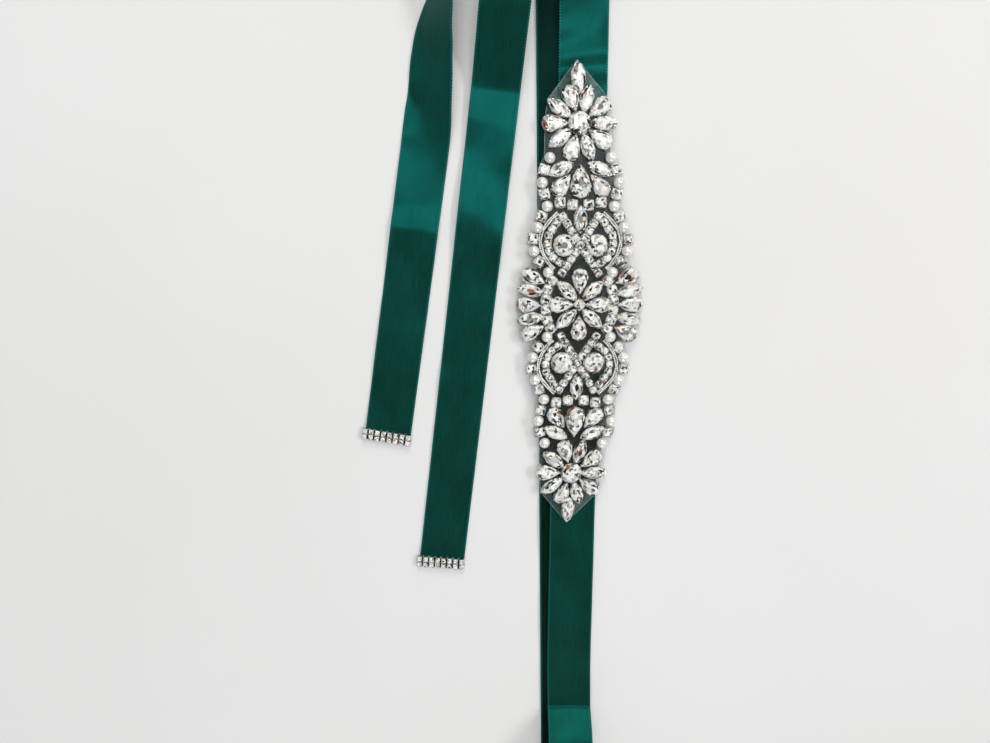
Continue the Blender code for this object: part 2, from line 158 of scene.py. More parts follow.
# Ribbon: polyester satin, woven 25 mm wide in one length. Its reverse is the same satin made
# darker and far less shiny: painted shade. It is laid in folds: long tail, top loop, back,
# bottom loop, front, a stack of folds and the short tail.
# Sizes are in millimetres, and the route repeats the one that the solids follow.

RIBBON_WIDTH = 25.0
RIBBON_THICKNESS = 0.55
ON_TABLE = 0.33
ON_BACK_RIBBON = 1.3
IN_STACK = 1.8
LAYER_PITCH = 1.3

BACK_HEADING = -0.95
LONG_TAIL_HEADING = 6.85
FRONT_BOTTOM_HEADING = 4.6
SHORT_TAIL_TOP_HEADING = 24.0
TURNED = 180.0

BACK_MIDDLE_X = -9.2
BACK_TOP_Y = 336.7
BACK_BOTTOM_Y = -272.0
TOP_LOOP_RADIUS = 10.0
BOTTOM_LOOP_RADIUS = 13.0
LOOP_RUN_IN = 20.0
STACK_X = -0.4
STACK_TOP_Y = 331.0
STACK_BOTTOM_Y = 171.0
STACK_LOOP_RADIUS = 2.0
STACK_FOLDS = 2
STACK_LOOP_STEPS = 8
FLAT_PITCH = 5.0
FRONT_PITCH = 1.2
LONG_TAIL_PITCH = 1.8
SHORT_TAIL_PITCH = 1.6

LONG_TAIL_TIP_Y = -146.1
LONG_TAIL_TIP_SKEW = 2.05
LONG_TAIL_HEIGHTS = [
    # y, z
    (160.0, 20.5),
    (146.4, 18.5),
    (129.0, 11.0),
    (110.3, 2.9),
    (108.3, 2.6),
    (92.0, 2.5),
    (89.0, 2.35),
    (71.0, 1.75),
    (67.0, 1.7),
    (54.0, 2.1),
    (40.0, 2.75),
    (36.0, 2.7),
    (6.0, ON_TABLE),
    (LONG_TAIL_TIP_Y, ON_TABLE),
]
CREASE_Y = -234.0
FRONT_ROWS = [
    # y, x, z, roll, skew
    (STACK_TOP_Y, STACK_X, IN_STACK, 0, 0),
    (290.0, STACK_X, ON_BACK_RIBBON, 0, 0),
    (152.2, -0.3, ON_BACK_RIBBON, 0, 0),
    (114.0, -0.1, ON_BACK_RIBBON, 0, 0),
    (-121.3, -1.5, ON_BACK_RIBBON, 0, 0),
    (-206.8, -1.9, ON_BACK_RIBBON, 0, 0),
    (CREASE_Y, -1.4, ON_BACK_RIBBON, 0, 0),
]
RISE_ROWS = [
    # y, x, z, roll, skew
    (CREASE_Y, -1.4, ON_BACK_RIBBON, 0, 0),
    (-235.2, -1.4, 1.5, 0, 0),
    (-238.4, -1.4, 4.6, 0, 0),
    (-243.0, -1.4, 9.9, 0, 0),
    (-248.0, -1.5, 15.2, 0, 0),
    (-254.0, -1.7, 20.3, 0, 0),
    (-261.0, -2.1, 24.4, 0, 0),
]
SHORT_TAIL_TIP_Y = -73.0
SHORT_TAIL_ROWS = [
    # y, x, z, roll, skew
    (290.0, -19.5, 16.4, 180, 0),
    (250.0, -37.0, 16.4, 180, 0),
    (225.0, -47.3, 15.5, 158, 0),
    (200.0, -56.5, 14.0, 130, 0),
    (172.0, -65.5, 13.0, 90, 0),
    (148.9, -71.5, 10.6, 54, 0),
    (140.1, -73.6, 9.4, 45, 0),
    (131.2, -75.1, 7.7, 35, 0),
    (122.2, -76.2, 6.5, 28.5, 0),
    (112.8, -76.9, 5.5, 23, 0),
    (103.6, -77.9, 3.7, 15, 0),
    (94.4, -79.0, 1.7, 5, 0),
    (84.6, -80.3, 0.75, 0, 0),
    (72.0, -82.1, ON_TABLE, 0, 0),
    (54.4, -84.7, ON_TABLE, 0, 0),
    (2.2, -92.5, ON_TABLE, 0, 0),
    (SHORT_TAIL_TIP_Y, -103.8, ON_TABLE, 0, -1.0),
]


def heading_vector(degrees):
    angle = math.radians(degrees)
    return Vector((math.sin(angle), math.cos(angle), 0.0))


def across_heading(heading):
    return Vector((heading.y, -heading.x, 0.0))


def smooth_route(knots, values):
    """A smooth curve through the values that never overshoots between two of them."""
    spans = [b - a for a, b in zip(knots, knots[1:])]
    rates = [(b - a) / span for a, b, span in zip(values, values[1:], spans)]
    slopes = [rates[0]]
    for before, after in zip(rates, rates[1:]):
        level = before * after <= 0.0
        slopes.append(0.0 if level else 2.0 * before * after / (before + after))
    slopes.append(rates[-1])

    def value(knot):
        last = len(spans) - 1
        i = next((k for k in range(last) if (knot - knots[k + 1]) * spans[k] < 0), last)
        t = (knot - knots[i]) / spans[i]
        start = (1 + 2 * t) * (1 - t) ** 2 * values[i] + t * (1 - t) ** 2 * spans[i] * slopes[i]
        end = t * t * (3 - 2 * t) * values[i + 1] - t * t * (1 - t) * spans[i] * slopes[i + 1]
        return start + end

    return value


def lie_along(rows, pitch, turned_over=False):
    """Sections along a stretch, a pitch apart, each its middle, its way across and its y."""
    knots = [row[0] for row in rows]
    x, z, roll, skew = (smooth_route(knots, [row[c] for row in rows]) for c in (1, 2, 3, 4))
    count = math.ceil(abs(knots[-1] - knots[0]) / pitch)
    small = 0.01
    sections = []
    for i in range(count + 1):
        y = knots[0] + (knots[-1] - knots[0]) * i / count
        low = Vector((x(y - small), y - small, z(y - small)))
        high = Vector((x(y + small), y + small, z(y + small)))
        along = (high - low).normalized()
        level = across_heading(along).normalized()
        angle = math.radians(roll(y))
        across = level * math.cos(angle) + level.cross(along) * math.sin(angle)
        across += along * math.tan(math.radians(skew(y)))
        sections.append((Vector((x(y), y, z(y))), -across if turned_over else across))
    return sections


def loop_over(start, heading_in, heading_back, radius, steps):
    """A half turn upwards. heading_back is the way back along the stretch that leaves it."""
    middle = (heading_in + heading_back) / 2
    forward = heading_vector(middle)
    across = across_heading(forward)
    lean = math.tan(math.radians(heading_in - middle))
    side = math.copysign(math.sqrt(1 + lean * lean), across.x)
    sections = []
    for i in range(steps + 1):
        turn = math.pi * i / steps
        point = start + forward * (radius * math.sin(turn))
        point += across * (radius * turn * lean)
        point += Vector((0, 0, radius * (1 - math.cos(turn))))
        sections.append((point, across * side))
    return sections


def back_x(y):
    return BACK_MIDDLE_X + y * math.tan(math.radians(BACK_HEADING))


def joined(stretches):
    """One list from several, where each starts on the last section of the one before."""
    sections = list(stretches[0])
    for stretch in stretches[1:]:
        sections += stretch[1:]
    return sections


top_skew = (BACK_HEADING - LONG_TAIL_HEADING) / 2
bottom_skew = (BACK_HEADING - FRONT_BOTTOM_HEADING) / 2
back_top = Vector((back_x(BACK_TOP_Y), BACK_TOP_Y, ON_TABLE))
back_bottom = Vector((back_x(BACK_BOTTOM_Y), BACK_BOTTOM_Y, ON_TABLE))
back_rows = [
    (back_top.y, back_top.x, ON_TABLE, 0, top_skew),
    (BACK_TOP_Y - LOOP_RUN_IN, back_x(BACK_TOP_Y - LOOP_RUN_IN), ON_TABLE, 0, 0),
    (0.0, BACK_MIDDLE_X, ON_TABLE, 0, 0),
    (BACK_BOTTOM_Y + LOOP_RUN_IN, back_x(BACK_BOTTOM_Y + LOOP_RUN_IN), ON_TABLE, 0, 0),
    (back_bottom.y, back_bottom.x, ON_TABLE, 0, bottom_skew),
]
top_loop = loop_over(back_top, BACK_HEADING, LONG_TAIL_HEADING, TOP_LOOP_RADIUS, 20)
bottom_loop = loop_over(back_bottom, BACK_HEADING + TURNED, FRONT_BOTTOM_HEADING + TURNED,
                        BOTTOM_LOOP_RADIUS, 24)
tail_start = top_loop[-1][0]
crest = bottom_loop[-1][0]
rise_rows = RISE_ROWS + [(crest.y, crest.x, crest.z, 0, -bottom_skew)]


def long_tail_x(y):
    return tail_start.x + (y - tail_start.y) * math.tan(math.radians(LONG_TAIL_HEADING))


tail_rows = [(tail_start.y, tail_start.x, tail_start.z, 0, -top_skew),
             (BACK_TOP_Y - LOOP_RUN_IN, long_tail_x(BACK_TOP_Y - LOOP_RUN_IN), tail_start.z, 0, 0)]
tail_rows += [(y, long_tail_x(y), z, 0, 0) for y, z in LONG_TAIL_HEIGHTS]
tail_rows[-1] = tail_rows[-1][:4] + (LONG_TAIL_TIP_SKEW,)

stack = []
height = IN_STACK
for fold in range(STACK_FOLDS):
    start = Vector((STACK_X, STACK_TOP_Y, height))
    stack.append(loop_over(start, 0, 0, STACK_LOOP_RADIUS, STACK_LOOP_STEPS))
    upper = height + 2 * STACK_LOOP_RADIUS
    height += LAYER_PITCH
    stack.append(lie_along([(STACK_TOP_Y, STACK_X, upper, 0, 0),
                            (STACK_BOTTOM_Y, STACK_X, height, 0, 0)], FLAT_PITCH))
    start = Vector((STACK_X, STACK_BOTTOM_Y, height))
    stack.append(loop_over(start, TURNED, TURNED, STACK_LOOP_RADIUS, STACK_LOOP_STEPS))
    height += 2 * STACK_LOOP_RADIUS
    stack.append(lie_along([(STACK_BOTTOM_Y, STACK_X, height, 0, 0),
                            (STACK_TOP_Y, STACK_X, height, 0, 0)], FLAT_PITCH))
start = Vector((STACK_X, STACK_TOP_Y, height))
last_loop = loop_over(start, 0, SHORT_TAIL_TOP_HEADING, STACK_LOOP_RADIUS, STACK_LOOP_STEPS)
start = last_loop[-1][0]
short_rows = [(start.y, start.x, start.z, 180, -SHORT_TAIL_TOP_HEADING / 2)] + SHORT_TAIL_ROWS

long_tail = lie_along(tail_rows, LONG_TAIL_PITCH)[::-1]
back = lie_along(back_rows, FLAT_PITCH)
rise = lie_along(rise_rows, FRONT_PITCH)[::-1]
front = lie_along(FRONT_ROWS, FRONT_PITCH)[::-1]
short_tail = lie_along(short_rows, SHORT_TAIL_PITCH, turned_over=True)
sections = joined([long_tail, top_loop[::-1], back, bottom_loop, rise, front] + stack
                  + [last_loop, short_tail])

# Where the ribbon keeps the marks of its packing: y, height and reach to either side. The front
# ribbon's are knots in y, and their heights.
LONG_TAIL_CREASES = [(-44.0, 0.5, 12.0, 22.0)]
SHORT_TAIL_CREASES = [(39.0, 0.8, 40.0, 24.0), (39.0, 0.5, 12.0, 18.0)]
front_ripple = smooth_route(
    [330.0, 200.0, 172.0, 160.0, 152.0, 146.0, 141.0, 137.0, 134.0, 130.0,
     127.0, 124.5, 122.0, 119.5, 117.0, 112.5, 109.5, 103.0, -235.0],
    [0.0, 0.0, 0.6, 1.35, 1.35, 1.15, 0.92, 0.7, 0.58, 0.55,
     0.52, 0.35, -0.1, -0.38, -0.38, 0.15, 0.28, 0.05, 0.0])

# How far the shape of each stretch slants down towards the right-hand edge: knots in y, slants.
long_tail_slant = smooth_route([340.0, 112.0, 100.0, 75.0, 36.0, 5.0, -150.0],
                               [0.0, 0.0, 0.5, 13.0, 13.0, 0.0, 0.0])
short_tail_slant = smooth_route([340.0, 122.0, 112.0, 97.0, 75.0, 48.0, -80.0],
                                [0.0, 0.0, 6.0, 18.0, 12.0, 0.0, 0.0])
front_slant = smooth_route([340.0, 160.0, 150.0, 138.0, 126.0, 110.0, -235.0],
                           [-26.0, -26.0, -25.0, -14.0, -4.0, 0.0, 0.0])
long_tail_height = smooth_route([row[0] for row in tail_rows], [row[2] for row in tail_rows])
short_tail_height = smooth_route([row[0] for row in short_rows], [row[2] for row in short_rows])
long_tail_end = len(long_tail)
front_start = len(joined([long_tail, top_loop, back, bottom_loop, rise]))
front_end = front_start + len(front)
short_tail_start = len(sections) - len(short_tail)


def crease_lift(row, y, side):
    """The lift of a point over its section's middle. side runs from -0.5, left, to 0.5."""
    if row < long_tail_end:
        creases = LONG_TAIL_CREASES
        lift = long_tail_height(y + long_tail_slant(y) * side) - long_tail_height(y)
    elif front_start <= row < front_end:
        return front_ripple(y + front_slant(y) * side)
    elif row >= short_tail_start:
        creases = SHORT_TAIL_CREASES
        lift = short_tail_height(y + short_tail_slant(y) * side) - short_tail_height(y)
    else:
        return 0.0
    for crease_y, rise_to, above, below in creases:
        reach = above if y > crease_y else below
        lift += rise_to * max(0.0, 1.0 - abs(y - crease_y) / reach)
    return lift


COLUMN_SHARES = [0.0, 0.03, 0.07, 0.15, 0.26, 0.38, 0.5, 0.62, 0.74, 0.85, 0.93, 0.97, 1.0]
# How loosely the ribbon lies: lift, and how often it changes across and how far it runs along.
LOOSE = (0.5, 1.9, 27.0)
EDGE_CURL = (0.5, 3.0, 31.0)
RUMPLE = (0.1, 3.0, 10.0)
columns = len(COLUMN_SHARES) - 1
lengths = [0.0]
for (before, _), (point, _) in zip(sections, sections[1:]):
    lengths.append(lengths[-1] + (point - before).length)


def waver(share, length, look, layer):
    """A slow noise over the ribbon, from -1 to 1, for one of the looks above."""
    return noise.noise(Vector((share * look[1], length / look[2], layer)))


bm = bmesh.new()
uv_layer = bm.loops.layers.uv.new("weave")
bmesh.ops.create_grid(bm, x_segments=columns, y_segments=len(sections) - 1, size=0.5,
                      calc_uvs=True)
places = {}
for vert in bm.verts:
    column = round((vert.co.x + 0.5) * columns)
    row = round((vert.co.y + 0.5) * (len(sections) - 1))
    places[vert] = (column, row)
    share = COLUMN_SHARES[column]
    point, across = sections[row]
    ahead = sections[min(row + 1, len(sections) - 1)][0]
    behind = sections[max(row - 1, 0)][0]
    outward = across.cross(ahead - behind).normalized()
    if outward.z < 0:
        outward = -outward
    loose = LOOSE[0] * (0.5 + waver(share, lengths[row], LOOSE, 0.0))
    edge = abs(2 * share - 1) ** 4
    curl = EDGE_CURL[0] * edge * (0.5 + waver(share, lengths[row], EDGE_CURL, 7.0))
    side = (share - 0.5) * (1 if across.x > 0 else -1)
    rumple = RUMPLE[0] * waver(share, lengths[row], RUMPLE, 3.0)
    lift = max(0.0, loose) + max(0.0, curl) + rumple + crease_lift(row, point.y, side)
    vert.co = point + across * ((share - 0.5) * RIBBON_WIDTH) + outward * lift
    vert.co.z = max(vert.co.z, ON_TABLE)
for face in bm.faces:
    for loop in face.loops:
        column, row = places[loop.vert]
        loop[uv_layer].uv = (COLUMN_SHARES[column], lengths[row] / RIBBON_WIDTH)


def add_piece(name, bm, finish, smooth=False):
    """A piece from a mesh in millimetres, at the origin and riding on the sash."""
    bmesh.ops.scale(bm, vec=(0.001, 0.001, 0.001), verts=bm.verts)
    mesh = bpy.data.meshes.new(name)
    bm.to_mesh(mesh)
    bm.free()
    mesh.materials.append(finish)
    if smooth:
        mesh.shade_smooth()
    piece = bpy.data.objects.new(name, mesh)
    bpy.context.scene.collection.objects.link(piece)
    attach(piece, "root")
    return piece


# The weave map runs from 0 to 1 across the ribbon and in ribbon widths along it. The first
# three are how often each pattern changes across and along, and the selvedge is measured from
# the middle.
STREAKS = (85.0, 2.2, 1.0)
THREADS = (150.0, 22.0, 1.0)
# Large random patches, some tealer and brighter, some greener and darker, are a painted sheen.
SHEEN_PATCHES = (1.4, 0.9, 1.0)
SELVEDGE = (0.464, 0.47)
PICOT_SCALE = 5.6
# The picots along the selvedge are real, but their bright teal is a painted highlight and the near
# black between them is painted shade.
PICOT_HIGHLIGHT = (0.015, 0.17, 0.155)
PICOT_GAP_SHADE = (0.002, 0.006, 0.005)


def mix_of(nodes, links, a, b, blend="MIX"):
    mix = nodes.new("ShaderNodeMix")
    mix.data_type = "RGBA"
    mix.blend_type = blend
    links.new(a, mix.inputs["A"])
    links.new(b, mix.inputs["B"])
    return mix


def woven_satin(name, dark, light, shine):
    """Satin that reads the weave map: fine warp streaks, a mottled painted sheen, and picots on
    its edges that carry a painted highlight with painted shade between them.
    """
    material, shader, nodes, links = new_finish(name)
    uv = nodes.new("ShaderNodeUVMap")
    uv.uv_map = "weave"
    weave = uv.outputs["UV"]
    streaks = noise_of(nodes, links, weave, 1.0, 3.0, STREAKS)
    threads = noise_of(nodes, links, weave, 1.0, 2.0, THREADS)
    sheen_patches = noise_of(nodes, links, weave, 1.0, 2.0, SHEEN_PATCHES)
    warp = ramp_of(nodes, links, streaks, [(0.3, dark), (0.7, light)])
    # The patches tint the streaks into a painted sheen.
    sheen_tint = ramp_of(nodes, links, sheen_patches, [(0.35, (1.0, 0.78, 0.68)), (0.65, (1.05, 1.22, 1.25))])
    tinted = mix_of(nodes, links, warp, sheen_tint, "MULTIPLY")
    tinted.inputs["Factor"].default_value = 1.0
    split = nodes.new("ShaderNodeSeparateXYZ")
    links.new(weave, split.inputs["Vector"])
    from_middle = nodes.new("ShaderNodeMath")
    from_middle.operation = "SUBTRACT"
    from_middle.inputs[1].default_value = 0.5
    links.new(split.outputs["X"], from_middle.inputs[0])
    distance = nodes.new("ShaderNodeMath")
    distance.operation = "ABSOLUTE"
    links.new(from_middle.outputs[0], distance.inputs[0])
    selvedge = range_of(nodes, links, distance.outputs[0], SELVEDGE)
    picots = nodes.new("ShaderNodeTexWave")
    picots.bands_direction = "Y"
    picots.inputs["Scale"].default_value = PICOT_SCALE
    links.new(weave, picots.inputs["Vector"])
    # The picots' painted highlight and the painted shade between them.
    picot_highlight_and_shade = ramp_of(nodes, links, picots.outputs["Fac"],
                          [(0.4, PICOT_GAP_SHADE), (0.65, PICOT_HIGHLIGHT)])
    edged = mix_of(nodes, links, tinted.outputs["Result"], picot_highlight_and_shade)
    links.new(selvedge, edged.inputs["Factor"])
    links.new(edged.outputs["Result"], shader.inputs["Base Color"])
    links.new(range_of(nodes, links, streaks, (0.25, 0.75), (0.24, 0.50)),
              shader.inputs["Roughness"])
    shader.inputs["IOR"].default_value = 1.5
    shader.inputs["Specular IOR Level"].default_value = shine
    shader.inputs["Specular Tint"].default_value = (0.02, 0.95, 0.89, 1.0)
    shader.inputs["Anisotropic"].default_value = 0.88
    tangent = nodes.new("ShaderNodeTangent")
    tangent.direction_type = "UV_MAP"
    tangent.uv_map = "weave"
    links.new(tangent.outputs["Tangent"], shader.inputs["Tangent"])
    relief = nodes.new("ShaderNodeMath")
    relief.operation = "ADD"
    links.new(threads, relief.inputs[0])
    links.new(selvedge, relief.inputs[1])
    links.new(bump_of(nodes, links, relief.outputs[0], 0.00006, 0.5), shader.inputs["Normal"])
    return material


satin = woven_satin("teal_satin", (0.0028, 0.021, 0.015), (0.0044, 0.042, 0.031), 0.5)
# The reverse is the satin darkened to about a third and made far less shiny. It is painted shade
# wherever the reverse faces up, as on the lower ribbon, and on the tip hems.
painted_shade_reverse = woven_satin("teal_satin_reverse_painted_shade", (0.003, 0.007, 0.005), (0.0042, 0.017, 0.012), 0.09)

ribbon = add_piece("ribbon", bm, satin, smooth=True)
ribbon.data.materials.append(painted_shade_reverse)
wall = ribbon.modifiers.new("wall", "SOLIDIFY")
wall.thickness = RIBBON_THICKNESS * 0.001
wall.offset = 0.0
wall.material_offset = 1
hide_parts("ribbon_tail_long", "ribbon_top_loop", "ribbon_back", "ribbon_bottom_loop",
            "ribbon_front", "ribbon_folds", "ribbon_tail_short")


# Backing film: a clear plastic sheet, cut round the stones, that the settings are glued to.
# It is bowed a little along its length, and it lies on the middle of the front ribbon.

FILM_UNDERSIDE = 2.0
FILM_THICKNESS = 0.6
FILM_TOP = FILM_UNDERSIDE + FILM_THICKNESS
FILM_HIGHLIGHT_BAND_WIDTH = 0.35
APPLIQUE_HALF_LENGTH = 123.6
BOW_DEPTH = -4.1
BOW_LEAN = 0.8
LOWER_END_SHORTER = 1.8
LOWER_END_START = -104.0
LOWER_END_REACH = 12.0
FILM_OUTLINE = [
    # x, y
    (0.0, APPLIQUE_HALF_LENGTH),
    (15.6, 104.6),
    (17.6, 95.0),
    (18.0, 85.0),
    (18.4, 76.5),
    (21.6, 70.0),
    (22.2, 60.0),
    (21.6, 52.0),
    (24.8, 43.0),
    (27.0, 33.0),
    (26.2, 25.0),
    (25.4, 21.0),
    (29.8, 19.0),
    (32.8, 12.0),
    (33.6, 0.0),
]


def bowed(x, y):
    """Where a point of the even pattern lies on the applique, whose lower end is shorter."""
    share = y / APPLIQUE_HALF_LENGTH
    lower = min(1.0, max(0.0, (LOWER_END_START - y) / LOWER_END_REACH))
    return x + BOW_DEPTH * share * share + BOW_LEAN * share, y + LOWER_END_SHORTER * lower


def bend_along_bow(bm):
    for vert in bm.verts:
        vert.co.x, vert.co.y = bowed(vert.co.x, vert.co.y)


def raise_faces(bm, faces, height):
    """The faces on top, once these faces have been drawn up to a height."""
    grown = bmesh.ops.extrude_face_region(bm, geom=faces, use_keep_orig=True)
    upper = [item for item in grown["geom"] if isinstance(item, bmesh.types.BMVert)]
    bmesh.ops.translate(bm, verts=upper, vec=(0.0, 0.0, height))
    return [item for item in grown["geom"] if isinstance(item, bmesh.types.BMFace)]


# The film is mottled with a pale haze, partly its own cloudiness and partly a painted sheen.
film_clear, shader, nodes, links, haze_and_sheen = mottled_finish(
    "clear_film", 120.0, 3.0, [(0.3, (0.40, 0.43, 0.43)), (0.7, (0.56, 0.60, 0.59))], 0.22)
links.new(range_of(nodes, links, haze_and_sheen, (0.35, 0.7), (0.04, 0.13)), shader.inputs["Alpha"])
links.new(bump_of(nodes, links, haze_and_sheen, 0.0004, 0.3), shader.inputs["Normal"])

# A band round the top of the film's edge is whiter and less clear than the film: a painted
# highlight where the cut edge catches the light, broken up at random.
film_edge_highlight, shader, nodes, links, nicks_and_glints = mottled_finish(
    "film_edge_painted_highlight", 420.0, 3.0, [(0.35, (0.45, 0.48, 0.48)), (0.65, (0.95, 0.96, 0.95))], 0.3)
shader.inputs["Alpha"].default_value = 0.3
links.new(bump_of(nodes, links, nicks_and_glints, 0.0003, 0.5), shader.inputs["Normal"])

bm = bmesh.new()
right_side = FILM_OUTLINE + [(x, -y) for x, y in FILM_OUTLINE[-2::-1]]
left_side = [(-x, y) for x, y in right_side[-2:0:-1]]
rim = [bm.verts.new((x, y, FILM_UNDERSIDE)) for x, y in right_side + left_side]
top = raise_faces(bm, [bm.faces.new(rim)], FILM_THICKNESS)
# The inset band round the top takes the painted highlight.
for face in bmesh.ops.inset_region(bm, faces=top, thickness=FILM_HIGHLIGHT_BAND_WIDTH)["faces"]:
    face.material_index = 1
bmesh.ops.triangulate(bm, faces=bm.faces)
bmesh.ops.recalc_face_normals(bm, faces=bm.faces)
bend_along_bow(bm)
film = add_piece("backing_film", bm, film_clear)
film.data.materials.append(film_edge_highlight)
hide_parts("applique")


# Shade bed: a dark see-through sheet over the film, a little short of its edge. It is painted
# shade for the gaps between the stones, and the settings stand down into it.

SHADE_BED_THICKNESS = 0.2
SHADE_BED_WIDTH_SHARE = 0.88
SHADE_BED_LENGTH_SHARE = 0.91
# A near-black sheet, about half opaque: painted shade between the stones.
painted_shade_sheet, shader, nodes, links, shade_mottle = mottled_finish(
    "shade_between_stones", 260.0, 3.0, [(0.35, (0.010, 0.010, 0.010)), (0.7, (0.05, 0.05, 0.048))], 0.3)
shader.inputs["Alpha"].default_value = 0.42
links.new(bump_of(nodes, links, shade_mottle, 0.0006, 0.5), shader.inputs["Normal"])

bm = bmesh.new()
rim = [bm.verts.new((x * SHADE_BED_WIDTH_SHARE, y * SHADE_BED_LENGTH_SHARE, FILM_TOP))
       for x, y in right_side + left_side]
raise_faces(bm, [bm.faces.new(rim)], SHADE_BED_THICKNESS)
bmesh.ops.triangulate(bm, faces=bm.faces)
bmesh.ops.recalc_face_normals(bm, faces=bm.faces)
bend_along_bow(bm)
add_piece("shade_bed", bm, painted_shade_sheet)


# Crystals: foil-backed glass stones, cut with flat facets whose colours are painted reflections,
# glints and shade. Each lies in a thin silver cup and is held by claws that are bent over its
# edge.
# A quarter of the pattern is mirrored.

STONES = {
    # width, length, height above the film
    "navette": (7.3, 14.4, 4.4),
    "pear": (8.7, 13.6, 4.4),
    "large_pear": (11.0, 17.0, 5.0),
    "tip_navette": (7.7, 16.0, 4.4),
    "round": (11.6, 11.6, 5.2),
    "square": (5.7, 5.7, 3.6),
    "chain": (4.3, 4.3, 3.0),
}
QUARTER_PATTERN = [
    # kind, x, y, turn of the outer end from +X
    ("navette", 6.8, 7.4, 43),
    ("pear", 24.6, 14.4, 27),
    ("navette", 26.2, 7.5, 12),
    ("round", 8.6, 31.0, 90),
    ("square", 4.2, 51.6, 0),
    ("square", 10.6, 52.8, 0),
    ("pear", 9.6, 61.6, -50),
    ("navette", 10.0, 69.6, -24),
    ("pearl", 16.8, 17.0, 0),
    ("square", 21.4, 22.5, 40),
    ("pearl", 24.3, 28.0, 0),
    ("square", 24.8, 34.3, 5),
    ("pearl", 22.4, 40.2, 0),
    ("square", 20.2, 45.7, 22),
    ("pearl", 17.3, 50.9, 0),
    ("square", 18.6, 57.1, -10),
    ("pearl", 19.7, 62.8, 0),
    ("square", 18.6, 69.3, 15),
    ("pearl", 15.6, 75.2, 0),
    ("square", 17.8, 2.7, 9),
    ("square", 17.1, 7.8, 24),
    ("square", 14.9, 12.6, 42),
]
CHAIN_PITCH = 4.2
CHAIN_RUNS = [
    [(2.3, 34.8), (9.2, 45.8)],
    [(2.4, 27.4), (9.4, 16.8)],
    [(12.3, 42.8), (16.6, 36.2), (17.2, 30.2), (14.9, 25.2), (10.9, 22.2)],
]
CENTRE_LINE_PATTERN = [
    # kind, y, turn
    ("pear", 12.4, 90),
    ("chain", 31.0, 57),
    ("navette", 44.2, 90),
    ("large_pear", 63.4, -90),
    ("round", 92.2, 90),
    ("tip_navette", 114.4, 90),
]
CROSS_LINE_PATTERN = [("pear", 9.6), ("pear", 26.8)]
FLOWER_Y = 92.2
PETAL_COUNT = 10
PETAL_DISTANCE = 12.6
FIRST_PETAL_TURN = 108.0


def even_points(run, pitch):
    """Evenly spaced points on a line through the run's own, with the line's direction."""
    legs = [(Vector(a), Vector(b) - Vector(a)) for a, b in zip(run, run[1:])]
    total = sum(leg.length for start, leg in legs)
    count = round(total / pitch)
    spots = []
    for i in range(count + 1):
        left = total * i / count
        for start, leg in legs:
            if left <= leg.length + 0.001:
                break
            left -= leg.length
        spot = start + leg.normalized() * left
        spots.append((spot.x, spot.y, math.degrees(math.atan2(leg.y, leg.x))))
    return spots


placed = []
quarter = list(QUARTER_PATTERN)
for run in CHAIN_RUNS:
    quarter += [("chain", x, y, turn) for x, y, turn in even_points(run, CHAIN_PITCH)]
for kind, x, y, turn in quarter:
    for side_x in (1, -1):
        for side_y in (1, -1):
            outer = math.degrees(math.atan2(side_y * math.sin(math.radians(turn)),
                                            side_x * math.cos(math.radians(turn))))
            placed.append((kind, side_x * x, side_y * y, outer))
for kind, y, turn in CENTRE_LINE_PATTERN:
    placed += [(kind, 0.0, y, turn), (kind, 0.0, -y, -turn)]
for kind, x in CROSS_LINE_PATTERN:
    placed += [(kind, x, 0.0, 0), (kind, -x, 0.0, 180)]
for flower_y in (FLOWER_Y, -FLOWER_Y):
    for petal in range(PETAL_COUNT):
        turn = FIRST_PETAL_TURN - petal * 360.0 / PETAL_COUNT
        placed.append(("navette" if petal % 2 else "pear",
                       PETAL_DISTANCE * math.cos(math.radians(turn)),
                       flower_y + PETAL_DISTANCE * math.sin(math.radians(turn)), turn))
placed.append(("square", 0.0, 0.0, 45))

PEAR_WIDEST = 0.77
NAVETTE_POINT = 1.6
SQUARE_CORNER = 1.27
CUT_SIDES = {"round": 12, "square": 8, "chain": 8}
PETAL_SIDES = 10
# Rings of facets: reach, height share and turn in half sides, from the girdle to the table.
FACET_RINGS = [(1.0, 0.58, 0), (0.84, 0.86, 1), (0.62, 1.0, 2), (0.30, 1.0, 3)]
# Painted light for the facets: the whites, greys and darks are painted reflections and shade, and
# the coloured ones are painted flashes of fire.
FACET_PAINTED_LIGHT = [
    # share of the facets, colour
    (0.55, (0.98, 0.98, 0.97)),
    (0.22, (0.70, 0.70, 0.68)),
    (0.08, (0.30, 0.30, 0.29)),
    (0.08, (0.025, 0.025, 0.025)),
    (0.03, (0.34, 0.13, 0.07)),
    (0.005, (0.35, 0.50, 0.75)),
    (0.035, (0.74, 0.64, 0.54)),
]
chance = random.Random(11)


def outline_point(kind, angle, width, length):
    """A point of a stone's outline, whose outer end is at +Y. angle runs from its inner end."""
    y = -length / 2 * math.cos(angle)
    if kind in ("pear", "large_pear"):
        return width / 2 * math.sin(angle) * abs(math.sin(angle / 2)) / PEAR_WIDEST, y
    if kind in ("navette", "tip_navette"):
        narrowed = math.copysign(abs(math.sin(angle)) ** NAVETTE_POINT, math.sin(angle))
        return width / 2 * narrowed, y
    if kind in ("square", "chain"):
        squareness = min(SQUARE_CORNER, 1.0 / max(abs(math.sin(angle)), abs(math.cos(angle))))
        return width / 2 * math.sin(angle) * squareness, y * squareness
    return width / 2 * math.sin(angle), y


def set_down(middle, turn, x, y, level):
    """Where a point of a stone's own plan lies, once its outer end points along turn."""
    spin = math.radians(turn - 90)
    return Vector((middle[0] + x * math.cos(spin) - y * math.sin(spin),
                   middle[1] + x * math.sin(spin) + y * math.cos(spin), level))


